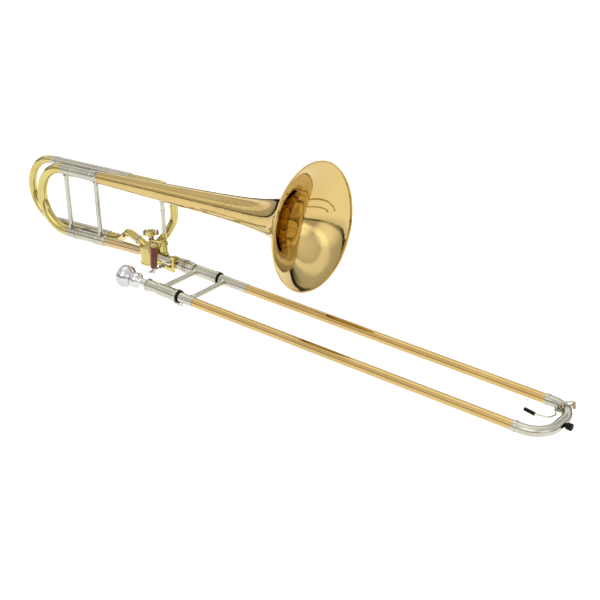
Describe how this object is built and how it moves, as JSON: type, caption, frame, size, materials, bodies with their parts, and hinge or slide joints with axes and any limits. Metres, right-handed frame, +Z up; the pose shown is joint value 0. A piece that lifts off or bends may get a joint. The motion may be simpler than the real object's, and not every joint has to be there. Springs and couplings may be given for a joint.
{
  "type": "tenor trombone with rotor valve",
  "caption": "Slide trombone with a flared bell, two tuning slides, a rotor valve worked by a thumb lever, a telescoping hand slide, a water key and a mouthpiece.",
  "frame": {"origin": "on the axis of the bell-side slide leg, at the flange where the slide joins the bell section, which is where the left hand holds it", "axes": "+X along the slide from the player to the end bow, +Z up towards the bell, +Y away from the mouthpiece leg"},
  "size_m": [1.1959, 0.2255, 0.2875],
  "materials": {
    "bell_brass": "mirror lacquer",
    "yellow_brass": "polished lacquer",
    "rose_brass": "polished lacquer",
    "slide_brass": "polished lacquer",
    "nickel_silver": "polished",
    "chrome_plate": "polished",
    "silver_plate": "bright silver plate",
    "steel": "drawn wire",
    "black_rubber": "satin",
    "cork": "matt",
    "dark_wood": "oiled"
  },
  "bodies": {
    "bell_section": {"bell": "bell_brass", "bell_rim_wire": "nickel_silver", "tuning_sleeve_ferrules": "nickel_silver", "main_tuning_sleeves": "nickel_silver", "f_tuning_sleeves": "nickel_silver", "gooseneck": "rose_brass", "rear_brace": "nickel_silver", "bell_brace": "nickel_silver", "bell_brace_foot": "yellow_brass", "f_slide_ties": "nickel_silver", "f_return_tube": "yellow_brass", "f_outlet_tube": "yellow_brass", "f_tube_ferrule": "nickel_silver", "valve_casing": "yellow_brass", "valve_top_plate": "yellow_brass", "valve_bottom_cap": "yellow_brass", "stop_bumpers": "cork", "slide_receiver": "nickel_silver", "lever_bracket": "yellow_brass", "lever_spring": "steel"},
    "valve_rotor": {"rotor": "yellow_brass", "stop_wheel": "yellow_brass", "link_pin": "steel", "wheel_screw": "yellow_brass"},
    "thumb_lever": {"lever_shaft": "nickel_silver", "thumb_grip": "dark_wood", "lever_arm": "yellow_brass", "grip_screw": "nickel_silver", "lever_ball": "yellow_brass"},
    "rotor_link": {"rotor_link": "yellow_brass"},
    "main_tuning_slide": {"main_tuning_bow": "yellow_brass", "main_slide_legs": "nickel_silver", "main_slide_ferrules": "nickel_silver", "tuning_slide_brace": "nickel_silver"},
    "f_tuning_slide": {"f_tuning_bow": "yellow_brass", "f_slide_legs": "nickel_silver", "f_slide_ferrules": "nickel_silver"},
    "lock_nut": {"bell_lock_nut": "nickel_silver"},
    "inner_slide": {"inner_slide_tubes": "chrome_plate", "cork_barrels": "nickel_silver", "slide_cushions": "black_rubber", "hand_brace": "nickel_silver", "mouthpiece_receiver": "nickel_silver", "leadpipe": "yellow_brass"},
    "lock_ring": {"slide_lock_ring": "nickel_silver"},
    "outer_slide": {"outer_slide_tubes": "slide_brass", "outer_slide_sleeves": "nickel_silver", "outer_brace": "nickel_silver", "slide_lock_pin": "nickel_silver", "bow_ferrules": "nickel_silver", "end_bow": "nickel_silver", "end_bumper": "black_rubber", "drain_nipple": "nickel_silver", "water_key_saddle": "nickel_silver", "water_key_pin": "steel", "water_key_spring": "steel"},
    "water_key": {"water_key_lever": "nickel_silver", "water_key_cork": "cork", "water_key_tip": "black_rubber"},
    "mouthpiece": {"mouthpiece": "silver_plate"}
  },
  "joints": [
    {"name": "bell_angle", "type": "hinge", "parent": "bell_section", "child": "inner_slide", "pos_m": [0, 0, 0], "axis": [1, 0, 0], "range_deg": [-12, 12]},
    {"name": "hand_slide", "type": "slide", "parent": "inner_slide", "child": "outer_slide", "axis": [1, 0, 0], "range_m": [0, 0.58]},
    {"name": "main_tuning_slide", "type": "slide", "parent": "bell_section", "child": "main_tuning_slide", "axis": [-0.9967, 0, -0.0816], "range_m": [0, 0.055]},
    {"name": "f_tuning_slide", "type": "slide", "parent": "bell_section", "child": "f_tuning_slide", "axis": [-0.9967, 0, -0.0816], "range_m": [0, 0.09]},
    {"name": "thumb_lever", "type": "hinge", "parent": "bell_section", "child": "thumb_lever", "pos_m": [-0.015, -0.0145, -0.0065], "axis": [0, -1, 0], "range_deg": [0, 23.81], "stiffness_Nm_per_rad": 0.3, "springref_deg": -20.05},
    {"name": "rotor_turn", "type": "hinge", "parent": "bell_section", "child": "valve_rotor", "pos_m": [-0.053, 0, 0], "axis": [0.0816, 0, -0.9967], "range_deg": [0, 90.01]},
    {"name": "link_pivot", "type": "hinge", "parent": "thumb_lever", "child": "rotor_link", "pos_m": [-0.00961, -0.01067, 0.036], "axis": [0, 1, 0], "range_deg": [0, 23.81]},
    {"name": "lock_nut_turn", "type": "hinge", "parent": "inner_slide", "child": "lock_nut", "pos_m": [0.03, 0, 0], "axis": [1, 0, 0], "continuous": true},
    {"name": "slide_lock", "type": "hinge", "parent": "inner_slide", "child": "lock_ring", "pos_m": [0.094, -0.098, 0], "axis": [1, 0, 0], "range_deg": [0, 17.4]},
    {"name": "water_key", "type": "hinge", "parent": "outer_slide", "child": "water_key", "pos_m": [0.76288, -0.01767, 0.0005], "axis": [0.788, -0.6157, 0], "range_deg": [0, 10], "stiffness_Nm_per_rad": 0.06, "springref_deg": -20.05},
    {"name": "mouthpiece_pull", "type": "slide", "parent": "inner_slide", "child": "mouthpiece", "axis": [-1, 0, 0], "range_m": [0, 0.03]}
  ],
  "couplings": [
    {"joint": "rotor_turn", "follows": "thumb_lever", "ratio": 3.7793},
    {"joint": "link_pivot", "follows": "thumb_lever", "ratio": 1}
  ]
}
